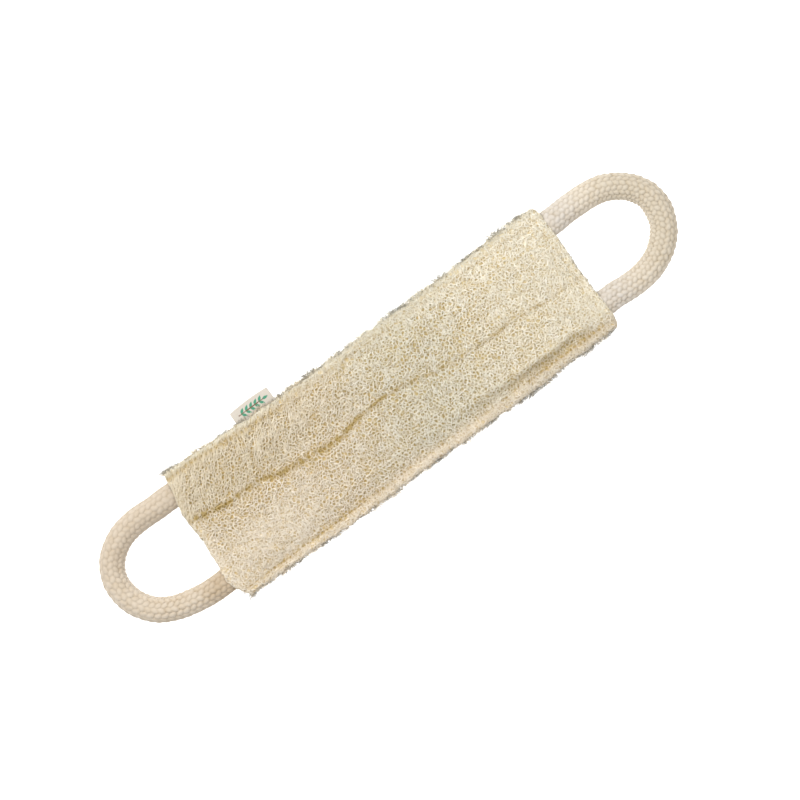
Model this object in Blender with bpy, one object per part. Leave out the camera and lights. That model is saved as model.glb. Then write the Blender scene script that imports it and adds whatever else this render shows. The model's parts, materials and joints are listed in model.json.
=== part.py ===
"""Loofah back scrubber: two loofah mats sewn face to face, with a cotton rope handle at each end.

The scrubber lies flat. +X runs along it, +Y across it and +Z is up. The origin is the middle
of the back mat's underside. The mats and the ropes are flexible, so each is divided where it
bends: two bends across the pad, and one beyond each of its ends.

Run with: blender --background --python part.py
"""

import math

import bmesh
import bpy
from mathutils import Vector

# Driving dimensions, in metres.
PAD_LENGTH = 0.352
PAD_HALF_WIDTH = 0.054
BACK_OVERHANG = 0.0025  # how much further the back mat reaches on its +Y side
MID_Z = 0.0105  # the plane where the two mats meet
BACK_HEIGHT = MID_Z  # the back mat lies flat on its underside
FRONT_HEIGHT = 0.0118  # the front mat is crowned
SHOULDER_HEIGHT = 0.0092
RIM_HEIGHT = 0.0075
EDGE_HEIGHT = 0.0060
SEAM_HEIGHT = 0.0060  # bottom of the sewn groove
SEAM_INSET = 0.0065
SEAM_HALF_WIDTH = 0.0018
SHOULDER_INSET = 0.0130
CROWN_INSET = 0.0210
EDGE_ROUND = 0.0015
CROWN_REACH = 0.0200  # from where the crown starts to its full height
GAP = 0.0003  # between pieces that touch

THREAD_RADIUS = 0.0006
THREAD_LIFT = 0.0012  # height of a thread's centre above the bottom of its groove

ROPE_RADIUS = 0.0105
TAIL_LENGTH = 0.058  # flattened rope inside the pad
TAIL_HALF_WIDTH = 0.0135
TAIL_HALF_HEIGHT = 0.0048
TAIL_NECK_LENGTH = 0.0050  # where it rounds out again, just outside the pad
LOOP_RUN_IN = 0.0060  # rope that is trimmed to a point at the bend
WEDGE_REACH = 0.1000

LABEL_CENTRE_X = -0.0855
LABEL_WIDTH = 0.035
LABEL_PROUD = 0.0125
LABEL_SEWN_IN = 0.0110
LABEL_THICKNESS = 0.0008

PAD_BEND_X = 0.058
PAD_BEND_LIMIT = math.radians(40)
HANDLE_BEND_X = 0.188
HANDLE_BEND_LIMIT = math.radians(60)
BEND_MARGIN = math.radians(0.5)

PAD_HALF_LENGTH = PAD_LENGTH / 2
SEAM_X = PAD_HALF_LENGTH - SEAM_INSET
SEAM_Y = PAD_HALF_WIDTH - SEAM_INSET
SIDES = {"left": -1, "right": 1}
RAILS = {"upper": 1, "lower": -1}
FACES = {"front": 1, "back": -1}

# Centre lines of the two handles, from the leg at +Y round to the leg at -Y: the distance
# out along the object from the pad's middle, and the place across it.
LOOPS = {
    "left": [
        (0.188, 0.0425), (0.202, 0.0430), (0.214, 0.0425), (0.225, 0.0400), (0.235, 0.0345),
        (0.243, 0.0265), (0.2475, 0.0160), (0.248, 0.0050), (0.2455, -0.0060), (0.240, -0.0155),
        (0.231, -0.0235), (0.220, -0.0288), (0.208, -0.0318), (0.197, -0.0335), (0.188, -0.0340),
    ],
    "right": [
        (0.188, 0.0400), (0.202, 0.0404), (0.214, 0.0398), (0.226, 0.0374), (0.237, 0.0318),
        (0.246, 0.0238), (0.2515, 0.0135), (0.2525, 0.0025), (0.250, -0.0085), (0.2445, -0.0180),
        (0.236, -0.0258), (0.225, -0.0315), (0.213, -0.0345), (0.200, -0.0350), (0.188, -0.0340),
    ],
}
POINTS_PER_SPAN = 2
RING_SIDES = 16

LOOFAH = ("loofah", (0.78, 0.69, 0.47, 1.0), 0.85)
COTTON_ROPE = ("cotton_rope", (0.80, 0.72, 0.62, 1.0), 0.80)
SEAM_THREAD = ("seam_thread", (0.82, 0.75, 0.58, 1.0), 0.60)
LABEL_CLOTH = ("label_cloth", (0.85, 0.80, 0.70, 1.0), 0.75)


def clear_scene():
    for obj in list(bpy.data.objects):
        bpy.data.objects.remove(obj, do_unlink=True)


def new_collection(name):
    collection = bpy.data.collections.new(name)
    bpy.context.scene.collection.children.link(collection)
    return collection


def material(finish):
    name, colour, roughness = finish
    made = bpy.data.materials.get(name) or bpy.data.materials.new(name)
    made.use_nodes = True
    shader = made.node_tree.nodes["Principled BSDF"]
    shader.inputs["Base Color"].default_value = colour
    shader.inputs["Roughness"].default_value = roughness
    return made


def joint_axis(name, x, parent):
    """An empty on a bend's axis, which carries the pieces that turn with it."""
    axis = bpy.data.objects.new(name, None)
    axis.location = (x, 0, MID_Z) if parent is None else (x - parent.location.x, 0, 0)
    axis.parent = parent
    PARTS.objects.link(axis)
    bpy.context.view_layer.update()
    return axis


def add_piece(name, mesh, finish, carrier):
    """Links a mesh in world coordinates, and hangs it on its carrier without moving it."""
    piece = bpy.data.objects.new(name, mesh)
    piece.data.materials.append(material(finish))
    PARTS.objects.link(piece)
    if carrier:
        piece.parent = carrier
        piece.matrix_parent_inverse = carrier.matrix_world.inverted()
    return piece


def add_cutter(name, mesh):
    cutter = bpy.data.objects.new(name, mesh)
    cutter.hide_render = True
    cutter.display_type = "WIRE"
    CUTTERS.objects.link(cutter)
    return cutter


def boolean(piece, cutter, operation="DIFFERENCE"):
    cut = piece.modifiers.new(cutter.name, "BOOLEAN")
    cut.object = cutter
    cut.operation = operation


def mesh_from(bm, name):
    bmesh.ops.recalc_face_normals(bm, faces=bm.faces)
    mesh = bpy.data.meshes.new(name)
    bm.to_mesh(mesh)
    bm.free()
    return mesh


def box_mesh(name, low, high):
    bm = bmesh.new()
    bmesh.ops.create_cube(bm, size=1)
    for vert in bm.verts:
        vert.co = Vector(lo + (hi - lo) * (c + 0.5) for lo, hi, c in zip(low, high, vert.co))
    return mesh_from(bm, name)


def interpolate(value, table):
    """The height at a place, along a table of (place, height) in rising order."""
    for (a, height_a), (b, height_b) in zip(table, table[1:]):
        if value <= b:
            share = (max(value, a) - a) / (b - a)
            return height_a + (height_b - height_a) * share
    return table[-1][1]


def side_profile(inset_to_seam, face):
    """(distance in from an edge, height over the middle plane) of a mat, from its edge inwards."""
    full = FRONT_HEIGHT if face == "front" else BACK_HEIGHT
    inner = inset_to_seam - SEAM_INSET
    return [
        (0.0, EDGE_HEIGHT),
        (EDGE_ROUND, RIM_HEIGHT),
        (inset_to_seam - SEAM_HALF_WIDTH, RIM_HEIGHT),
        (inset_to_seam, SEAM_HEIGHT),
        (inset_to_seam + SEAM_HALF_WIDTH, RIM_HEIGHT),
        (inner + SHOULDER_INSET, SHOULDER_HEIGHT),
        (inner + CROWN_INSET, full if face == "back" else 0.5 * (full + BACK_HEIGHT)),
        (inner + CROWN_INSET + CROWN_REACH, full),
    ]


def mat_edges(face):
    return -PAD_HALF_WIDTH, PAD_HALF_WIDTH + (BACK_OVERHANG if face == "back" else 0)


def mat_height(x, y, face):
    """Height of a mat's outer face over the middle plane."""
    low, high = mat_edges(face)
    across = min(
        interpolate(y - low, side_profile(SEAM_INSET, face)),
        interpolate(high - y, side_profile(high - SEAM_Y, face)),
    )
    along = interpolate(PAD_HALF_LENGTH - abs(x), side_profile(SEAM_INSET, face))
    return min(across, along)


def rows_across(face):
    """Places across the pad where the mat's surface changes slope."""
    low, high = mat_edges(face)
    rising = [low + place for place, _ in side_profile(SEAM_INSET, face)]
    falling = [high - place for place, _ in side_profile(high - SEAM_Y, face)]
    return rising + falling[::-1]


def rows_along(section, face):
    """Places along the pad where a section's surface changes slope, from -X to +X."""
    if section == "centre":
        return [-PAD_BEND_X, -PAD_BEND_X / 3, PAD_BEND_X / 3, PAD_BEND_X]
    outward = [PAD_HALF_LENGTH - place for place, _ in side_profile(SEAM_INSET, face)][::-1]
    middle = (PAD_BEND_X + outward[0]) / 2
    rows = [PAD_BEND_X, middle] + outward
    return rows if section == "right" else [-row for row in rows][::-1]


def make_mat(section, face, carrier):
    """One section of a mat: a grid raised to the mat's outer face and pulled down to the middle plane."""
    xs, ys = rows_along(section, face), rows_across(face)
    up = FACES[face]
    bm = bmesh.new()
    bmesh.ops.create_grid(bm, x_segments=len(xs) - 1, y_segments=len(ys) - 1, size=1)
    for vert in bm.verts:
        column = round((vert.co.x + 1) / 2 * (len(xs) - 1))
        row = round((vert.co.y + 1) / 2 * (len(ys) - 1))
        vert.co = (xs[column], ys[row], mat_height(xs[column], ys[row], face))
    grown = bmesh.ops.extrude_face_region(bm, geom=list(bm.faces))["geom"]
    for vert in (item for item in grown if isinstance(item, bmesh.types.BMVert)):
        vert.co.z = GAP / 2
    slope = math.tan(PAD_BEND_LIMIT / 2 + BEND_MARGIN)
    for vert in bm.verts:
        side = math.copysign(1, vert.co.x)
        if math.isclose(abs(vert.co.x), PAD_BEND_X, abs_tol=1e-6):
            inward = -side if section == "centre" else side
            vert.co.x += inward * (GAP / 2 + vert.co.z * slope)
        vert.co.z = MID_Z + up * vert.co.z
    bmesh.ops.recalc_face_normals(bm, faces=bm.faces)
    bm.normal_update()
    bmesh.ops.dissolve_limit(bm, angle_limit=0.001, verts=bm.verts, edges=bm.edges)
    return add_piece(f"loofah_{face}_{section}", mesh_from(bm, "mat"), LOOFAH, carrier)


def ring_loft(rings, name):
    """Closed loft through rings, each a list of points. The last ring is capped as two halves."""
    bm = bmesh.new()
    levels = [[bm.verts.new(point) for point in ring] for ring in rings]
    count = len(levels[0])
    for first, second in zip(levels, levels[1:]):
        for i in range(count):
            j = (i + 1) % count
            bm.faces.new((first[i], first[j], second[j], second[i]))
    bm.faces.new(levels[0])
    half = count // 2
    bm.faces.new(levels[-1][: half + 1])
    bm.faces.new(levels[-1][half:] + levels[-1][:1])
    return mesh_from(bm, name)


def tail_rings(side, y, spare, slope):
    """Rings of a rope tail, from its cut end in the pad to the bend outside it, grown by spare."""
    inner_x = PAD_HALF_LENGTH - TAIL_LENGTH
    stations = [
        (inner_x - spare, 0.82 * TAIL_HALF_WIDTH, 0.65 * TAIL_HALF_HEIGHT),
        (inner_x + 0.003, TAIL_HALF_WIDTH, TAIL_HALF_HEIGHT),
        (PAD_HALF_LENGTH, TAIL_HALF_WIDTH, TAIL_HALF_HEIGHT),
        (PAD_HALF_LENGTH + TAIL_NECK_LENGTH, 1.05 * ROPE_RADIUS, 0.9 * ROPE_RADIUS),
        (HANDLE_BEND_X - GAP / 2, ROPE_RADIUS, ROPE_RADIUS),
    ]
    rings = []
    for station, (x, half_width, half_height) in enumerate(stations):
        bend = slope if station == len(stations) - 1 else 0
        ring = []
        for step in range(RING_SIDES):
            turn = 2 * math.pi * step / RING_SIDES
            height = (half_height + spare) * math.sin(turn)
            across = (half_width + spare) * math.cos(turn)
            ring.append((side * (x - abs(height) * bend), y + across, MID_Z + height))
        rings.append(ring)
    return rings


def make_tail(end, rail, y, carrier, mats):
    """The flattened end of a rope handle, and the pocket that it fills in both mats."""
    slope = math.tan(HANDLE_BEND_LIMIT / 2 + BEND_MARGIN)
    name = f"rope_tail_{end}_{rail}"
    side = SIDES[end]
    mesh = ring_loft(tail_rings(side, y, 0, slope), name)
    tail = add_piece(name, mesh, COTTON_ROPE, carrier)
    pocket = add_cutter(f"{name}_pocket", ring_loft(tail_rings(side, y, GAP, 0), "pocket"))
    for mat in mats:
        boolean(mat, pocket)
    tail.data.shade_smooth()


def smooth_path(points):
    """Points along a Catmull-Rom curve through the given points."""
    ends = [2 * points[0] - points[1]] + points + [2 * points[-1] - points[-2]]
    path = []
    for p0, p1, p2, p3 in zip(ends, ends[1:], ends[2:], ends[3:]):
        for step in range(POINTS_PER_SPAN):
            t = step / POINTS_PER_SPAN
            path.append(
                0.5 * ((2 * p1) + (p2 - p0) * t + (2 * p0 - 5 * p1 + 4 * p2 - p3) * t**2
                       + (3 * p1 - p0 - 3 * p2 + p3) * t**3)
            )
    return path + [points[-1]]


def tube_mesh(path, radius, resolution):
    """A closed mesh of a round tube along a path, with its end caps welded on."""
    curve = bpy.data.curves.new("tube", "CURVE")
    curve.dimensions = "3D"
    curve.bevel_depth = radius
    curve.bevel_resolution = resolution
    curve.use_fill_caps = True
    spline = curve.splines.new("POLY")
    spline.points.add(len(path) - 1)
    for point, place in zip(spline.points, path):
        point.co = (*place, 1)
    guide = bpy.data.objects.new("tube", curve)
    PARTS.objects.link(guide)
    graph = bpy.context.evaluated_depsgraph_get()
    mesh = bpy.data.meshes.new_from_object(guide.evaluated_get(graph))
    bpy.data.objects.remove(guide)
    bm = bmesh.new()
    bm.from_mesh(mesh)
    bpy.data.meshes.remove(mesh)
    bmesh.ops.remove_doubles(bm, verts=bm.verts, dist=1e-6)
    return mesh_from(bm, "tube")


def wedge_mesh(side):
    """A prism whose edge lies on a handle's bend, and which opens away from the pad."""
    slope = math.tan(HANDLE_BEND_LIMIT / 2 + BEND_MARGIN)
    tip_x = HANDLE_BEND_X + GAP / 2
    tall = 2 * ROPE_RADIUS
    far_x = tip_x + WEDGE_REACH
    outline = [
        (tip_x, 0),
        (tip_x + tall * slope, tall),
        (far_x, tall),
        (far_x, -tall),
        (tip_x + tall * slope, -tall),
    ]
    bm = bmesh.new()
    base = bm.faces.new([bm.verts.new((side * x, -WEDGE_REACH, MID_Z + z)) for x, z in outline])
    grown = bmesh.ops.extrude_face_region(bm, geom=[base])["geom"]
    for vert in (item for item in grown if isinstance(item, bmesh.types.BMVert)):
        vert.co.y = WEDGE_REACH
    return mesh_from(bm, "wedge")


def make_loop(end, carrier):
    """A rope handle outside the pad: a U of round rope, its ends pointed where it bends."""
    side = SIDES[end]
    points = [Vector((side * x, y, MID_Z)) for x, y in LOOPS[end]]
    run_in = Vector((side * LOOP_RUN_IN, 0, 0))
    path = [points[0] - run_in] + smooth_path(points) + [points[-1] - run_in]
    loop = add_piece(f"rope_loop_{end}", tube_mesh(path, ROPE_RADIUS, 4), COTTON_ROPE, carrier)
    boolean(loop, add_cutter(f"rope_loop_{end}_keep", wedge_mesh(side)), "INTERSECT")
    loop.data.shade_smooth()


def seam_z(face):
    return MID_Z + FACES[face] * (SEAM_HEIGHT + THREAD_LIFT)


def thread(name, start, end, carrier):
    piece = add_piece(name, tube_mesh([start, end], THREAD_RADIUS, 2), SEAM_THREAD, carrier)
    piece.data.shade_smooth()


def make_side_seams(section, face, carrier):
    """The thread along both long edges of one section, lying in the mat's grooves."""
    z = seam_z(face)
    reach = abs(z - MID_Z) + THREAD_RADIUS
    inner_x = reach * math.tan(PAD_BEND_LIMIT / 2 + BEND_MARGIN) + GAP
    outer_x = SEAM_X + THREAD_RADIUS
    spans = {
        "left": (-outer_x, -PAD_BEND_X - inner_x),
        "centre": (-PAD_BEND_X + inner_x, PAD_BEND_X - inner_x),
        "right": (PAD_BEND_X + inner_x, outer_x),
    }
    start_x, end_x = spans[section]
    for rail, way in RAILS.items():
        y = way * SEAM_Y
        name = f"seam_thread_{face}_{rail}_{section}"
        thread(name, Vector((start_x, y, z)), Vector((end_x, y, z)), carrier)


def make_end_seam(end, face, carrier):
    """The thread across one end, which sews the mats to each other and to the rope."""
    x, z = SIDES[end] * SEAM_X, seam_z(face)
    reach = SEAM_Y - THREAD_RADIUS - GAP
    name = f"seam_thread_{face}_end_{end}"
    thread(name, Vector((x, -reach, z)), Vector((x, reach, z)), carrier)


def make_label(carrier, front_mat):
    """A folded cloth label sewn in between the mats on their +Y edge."""
    half = LABEL_WIDTH / 2
    base_z = MID_Z + GAP / 2
    low = (LABEL_CENTRE_X - half, PAD_HALF_WIDTH - LABEL_SEWN_IN, base_z)
    high = (LABEL_CENTRE_X + half, PAD_HALF_WIDTH + LABEL_PROUD, base_z + LABEL_THICKNESS)
    add_piece("label", box_mesh("label", low, high), LABEL_CLOTH, carrier)
    slot_low = [value - GAP for value in low]
    slot_high = [value + GAP for value in high]
    slot_low[2] -= GAP
    boolean(front_mat, add_cutter("label_slot", box_mesh("slot", slot_low, slot_high)))


def build():
    left_bend = joint_axis("pad_bend_left", -PAD_BEND_X, None)
    right_bend = joint_axis("pad_bend_right", PAD_BEND_X, None)
    sections = {"left": left_bend, "centre": None, "right": right_bend}
    mats = {}
    for section, carrier in sections.items():
        for face in FACES:
            mats[section, face] = make_mat(section, face, carrier)
            make_side_seams(section, face, carrier)
    for end, side in SIDES.items():
        carrier = sections[end]
        handle_bend = joint_axis(f"handle_bend_{end}", side * HANDLE_BEND_X, carrier)
        make_loop(end, handle_bend)
        for rail, (_, y) in zip(RAILS, (LOOPS[end][0], LOOPS[end][-1])):
            make_tail(end, rail, y, carrier, [mats[end, face] for face in FACES])
        for face in FACES:
            make_end_seam(end, face, carrier)
    make_label(left_bend, mats["left", "front"])


clear_scene()
PARTS = new_collection("loofah_back_scrubber")
CUTTERS = new_collection("cutters")
build()
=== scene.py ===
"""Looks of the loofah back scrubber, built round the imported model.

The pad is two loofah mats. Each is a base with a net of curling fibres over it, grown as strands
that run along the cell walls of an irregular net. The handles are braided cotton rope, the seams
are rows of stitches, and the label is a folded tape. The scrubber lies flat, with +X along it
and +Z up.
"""

import json
import math

import bmesh
import bpy
import numpy as np
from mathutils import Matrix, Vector, geometry


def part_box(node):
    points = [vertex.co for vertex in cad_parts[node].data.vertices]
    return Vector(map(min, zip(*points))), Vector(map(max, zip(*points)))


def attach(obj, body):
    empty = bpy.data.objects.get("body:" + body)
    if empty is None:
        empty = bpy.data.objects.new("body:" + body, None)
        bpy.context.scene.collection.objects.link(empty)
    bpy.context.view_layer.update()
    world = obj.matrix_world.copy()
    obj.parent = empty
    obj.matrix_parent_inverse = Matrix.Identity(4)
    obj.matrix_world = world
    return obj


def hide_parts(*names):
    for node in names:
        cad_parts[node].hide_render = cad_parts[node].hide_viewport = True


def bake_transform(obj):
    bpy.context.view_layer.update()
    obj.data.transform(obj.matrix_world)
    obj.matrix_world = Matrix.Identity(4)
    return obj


MM = 0.001

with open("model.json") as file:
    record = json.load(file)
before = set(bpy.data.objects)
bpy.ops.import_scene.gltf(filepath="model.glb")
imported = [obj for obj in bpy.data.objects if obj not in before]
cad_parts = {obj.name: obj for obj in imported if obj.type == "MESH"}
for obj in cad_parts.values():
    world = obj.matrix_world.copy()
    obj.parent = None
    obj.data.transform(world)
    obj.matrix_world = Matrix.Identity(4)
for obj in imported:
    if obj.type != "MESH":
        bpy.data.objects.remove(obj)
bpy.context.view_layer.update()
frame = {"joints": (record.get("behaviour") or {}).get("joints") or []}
JOINTS = {joint["name"]: joint for joint in frame["joints"]}
MID_Z = JOINTS["pad_bend_right"]["pos_m"][2]
HANDLE_BEND_X = JOINTS["handle_bend_right"]["pos_m"][0]
HALF_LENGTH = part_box("loofah_front_right")[1].x
SEAM_Y = sum(corner.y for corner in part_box("seam_thread_front_upper_centre")) / 2
SEAM_X = sum(corner.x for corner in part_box("seam_thread_front_end_right")) / 2
ROPE_RADIUS = (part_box("rope_loop_right")[1].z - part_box("rope_loop_right")[0].z) / 2
TAIL_END_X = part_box("rope_tail_right_upper")[0].x

SIDES = {"left": -1, "right": 1}
FACES = {"front": 1, "back": -1}
FRONT_EDGE = [corner.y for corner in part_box("loofah_front_centre")]
BACK_EDGE = [corner.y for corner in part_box("loofah_back_centre")]
FRONT_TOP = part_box("loofah_front_centre")[1].z - MID_Z

# The lowest that anything comes at rest, and the floor, below the reach of a handle bent down.
LOWEST = 0.05 * MM
FLOOR_Z = -0.2
FLOOR_HALF = 9.0
FLOOR_GLOW = 0.45
WORLD_LIGHT = 0.7
WORLD_SEEN = 1.1

# The mats.
BASE_STEP = 1.2 * MM
BASE_SINK = 1.1 * MM
BASE_INSET = 1.0 * MM
RIM_HEIGHT = 7.0 * MM
EDGE_HEIGHT = 3.2 * MM
EDGE_ROUND = 3.0 * MM
CORNER_ROUND = 4.5 * MM
WALL_DEPTH = 6.5 * MM
FLAP_REACH = 8 * MM
STITCH_LENGTH = 4.4 * MM
GROOVE_DEPTH = 1.0 * MM
GROOVE_HALF = 1.3 * MM
PUFF_REACH = 15 * MM
# How the rims swell over the rope's legs, at their top and at the edge.
LEG_RISE = 1.8 * MM
LEG_EDGE_RISE = 4.6 * MM
# Room for the fibres between a mat's face and the outside of its solid.
FIBRE_ROOM = {"front": 0.9 * MM, "back": 1.2 * MM}
CREASE = [
    (-176, 18.0), (-164, 17.2), (-150, 14.2), (-141, 12.8), (-134, 13.4), (-117, 12.4), (-110, 11.6),
    (-104, 9.8), (-98, 7.4), (-90, 6.2), (-76, 4.6), (-60, 3.0), (-45, 2.3), (-36, 4.6), (-29, 6.1),
    (-17, 7.0), (0, 7.4), (12, 6.4), (25, 4.2), (43, -0.2), (55, -1.8), (70, -3.2), (90, -4.0),
    (110, -3.6), (125, -4.8), (140, -6.4), (176, -7.0),
]
# The long edges of the mats (along, across) and their ends (across, out from the middle).
LOWER_EDGE = [
    (-176, -53.0), (-160, -53.2), (-100, -54.6), (-80, -55.4), (0, -54.6), (40, -55.3),
    (100, -56.0), (120, -54.8), (160, -54.5), (176, -54.0),
]
UPPER_EDGE_BACK = [
    (-176, 59.0), (-160, 59.3), (-130, 57.9), (-60, 54.9), (0, 54.6), (60, 54.3), (100, 55.1),
    (140, 56.1), (160, 57.0), (176, 56.5),
]
UPPER_EDGE_FRONT = [
    (-176, 58.0), (-160, 58.4), (-130, 57.1), (-95, 55.2), (-60, 54.1), (60, 53.5), (100, 54.3),
    (140, 55.3), (160, 56.1), (176, 55.6),
]
UPPER_SEAM = [
    (-176, 54.0), (-150, 54.1), (-133, 53.0), (-121, 51.7), (-107, 50.6), (-89, 49.0), (-72, 47.8),
    (-40, 47.5), (176, 47.5),
]
FOLD = [(0, -35.0), (65, -37.8), (120, -40.2), (137, -38.8), (143, -38.0), (148, -41.0), (160, -42.2)]
ENDS = {
    "left": [
        (-56, 168), (-50, 172), (-44, 175.5), (-37, 178.5), (-29, 179), (-22, 177.5), (0, 176),
        (26, 176), (33, 174.5), (42, 172.5), (50, 171), (60, 169.5),
    ],
    "right": [(-57, 170), (-52, 175), (-45, 176.5), (-10, 176), (20, 176.7), (50, 177), (58, 173)],
}
# How far the crease steps down along its length, in millimetres.
CREASE_DEPTH = [
    (-176, 0.3), (-165, 0.55), (-150, 0.7), (-80, 0.7), (-50, 0.45), (-20, 0.6), (10, 0.55),
    (40, 0.5), (60, 0.6), (90, 0.5), (130, 0.6), (165, 0.1),
]

# Centre lines of the handles, as the solids have them: out along the pad, and across it.
LOOPS = {
    "left": [
        (0.188, 0.0425), (0.202, 0.0430), (0.214, 0.0425), (0.225, 0.0400), (0.235, 0.0345),
        (0.243, 0.0265), (0.2475, 0.0160), (0.248, 0.0050), (0.2455, -0.0060), (0.240, -0.0155),
        (0.231, -0.0235), (0.220, -0.0288), (0.208, -0.0318), (0.197, -0.0335), (0.188, -0.0340),
    ],
    "right": [
        (0.188, 0.0400), (0.202, 0.0404), (0.214, 0.0398), (0.226, 0.0374), (0.237, 0.0318),
        (0.246, 0.0238), (0.2515, 0.0135), (0.2525, 0.0025), (0.250, -0.0085), (0.2445, -0.0180),
        (0.236, -0.0258), (0.225, -0.0315), (0.213, -0.0345), (0.200, -0.0350), (0.188, -0.0340),
    ],
}


# ---------------------------------------------------------------- small helpers


def linear(red, green, blue):
    """A colour given as 0 to 255 display values, in the linear values that shaders use."""
    values = [channel / 255 for channel in (red, green, blue)]
    return [v / 12.92 if v <= 0.04045 else ((v + 0.055) / 1.055) ** 2.4 for v in values] + [1.0]


def smoothstep(value):
    t = np.clip(value, 0, 1)
    return t * t * (3 - 2 * t)


def ease_between(value, low, high):
    return smoothstep((value - low) / (high - low))


def ease_mm(value, low, high):
    """ease_between for a value in metres and two places in millimetres."""
    return ease_between(value, low * MM, high * MM)


def bump_at(value, centre, half):
    return np.exp(-(((value - centre) / half) ** 2))


def bump_mm(value, centre, half):
    """bump_at for a value in metres, with the bump's place and half width in millimetres."""
    return bump_at(value, centre * MM, half * MM)


def table_at(x, table):
    """Values of a table of (place, value) pairs in millimetres, at places in metres, in metres."""
    places, values = zip(*table)
    return np.interp(x, np.array(places) * MM, np.array(values) * MM)


def smooth_noise(x, y, size, seed):
    """Smooth noise from -1 to 1, with lumps about size across."""
    lattice = np.random.default_rng(seed).uniform(-1, 1, (64, 64))
    u, v = np.asarray(x) / size + 31.7, np.asarray(y) / size + 17.3
    i, j = np.floor(u).astype(int), np.floor(v).astype(int)
    s, t = smoothstep(u - i), smoothstep(v - j)
    a, b = lattice[i % 64, j % 64], lattice[(i + 1) % 64, j % 64]
    c, d = lattice[i % 64, (j + 1) % 64], lattice[(i + 1) % 64, (j + 1) % 64]
    return (a * (1 - s) + b * s) * (1 - t) + (c * (1 - s) + d * s) * t


def noise_along(along, size, seed):
    """Smooth noise that changes along one line only, with lumps about size millimetres long."""
    return smooth_noise(along, 0 * along, size * MM, seed)


def make_mesh(name, points, faces_by_size, attributes=(), charts=None):
    """A mesh object from numpy arrays: points, faces as one array for each number of corners,
    float attributes of the points, and places on the texture map for the faces' corners."""
    mesh = bpy.data.meshes.new(name)
    mesh.vertices.add(len(points))
    mesh.vertices.foreach_set("co", points.astype(np.float32).ravel())
    corners = np.concatenate([faces.ravel() for faces in faces_by_size])
    sizes = np.concatenate([np.full(len(faces), faces.shape[1]) for faces in faces_by_size])
    starts = np.concatenate([[0], np.cumsum(sizes)[:-1]])
    mesh.loops.add(len(corners))
    mesh.loops.foreach_set("vertex_index", corners.astype(np.int32))
    mesh.polygons.add(len(sizes))
    mesh.polygons.foreach_set("loop_start", starts.astype(np.int32))
    mesh.update(calc_edges=True)
    mesh.shade_smooth()
    for label, values in attributes:
        layer = mesh.attributes.new(label, "FLOAT", "POINT")
        layer.data.foreach_set("value", values.astype(np.float32).ravel())
    rest = mesh.attributes.new("rest", "FLOAT_VECTOR", "POINT")
    rest.data.foreach_set("vector", points.astype(np.float32).ravel())
    if charts is not None:
        chart = mesh.uv_layers.new(name="OFBake")
        corner_places = np.concatenate([places.reshape(-1, 2) for places in charts])
        chart.data.foreach_set("uv", corner_places.astype(np.float32).ravel())
    obj = bpy.data.objects.new(name, mesh)
    bpy.context.scene.collection.objects.link(obj)
    return obj


# ---------------------------------------------------------------- materials

MIDDLE_TINT = linear(244, 244, 239)
RIGHT_TINT = linear(255, 254, 249)
LOWER_LEFT_TINT = linear(250, 245, 239)
UPPER_LEFT_TINT = linear(236, 229, 215)
RIM_TINT = linear(252, 246, 239)
RIGHT_RIM_TINT = linear(241, 236, 229)
# Painted shade down the mats' side walls and along their upper edge, where the side attribute is high.
PAINTED_SIDE_SHADE = linear(226, 224, 216)
# Partly the loofah's own ochre and partly painted shade in the crease, seams, needle holes and lower fold.
OCHRE_AND_SHADE = linear(196, 168, 100)
DEEP_OCHRE_AND_SHADE = linear(166, 140, 80)
FRINGE_GREY = linear(78, 77, 64)
PACKED_PALE = linear(226, 213, 182)


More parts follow.
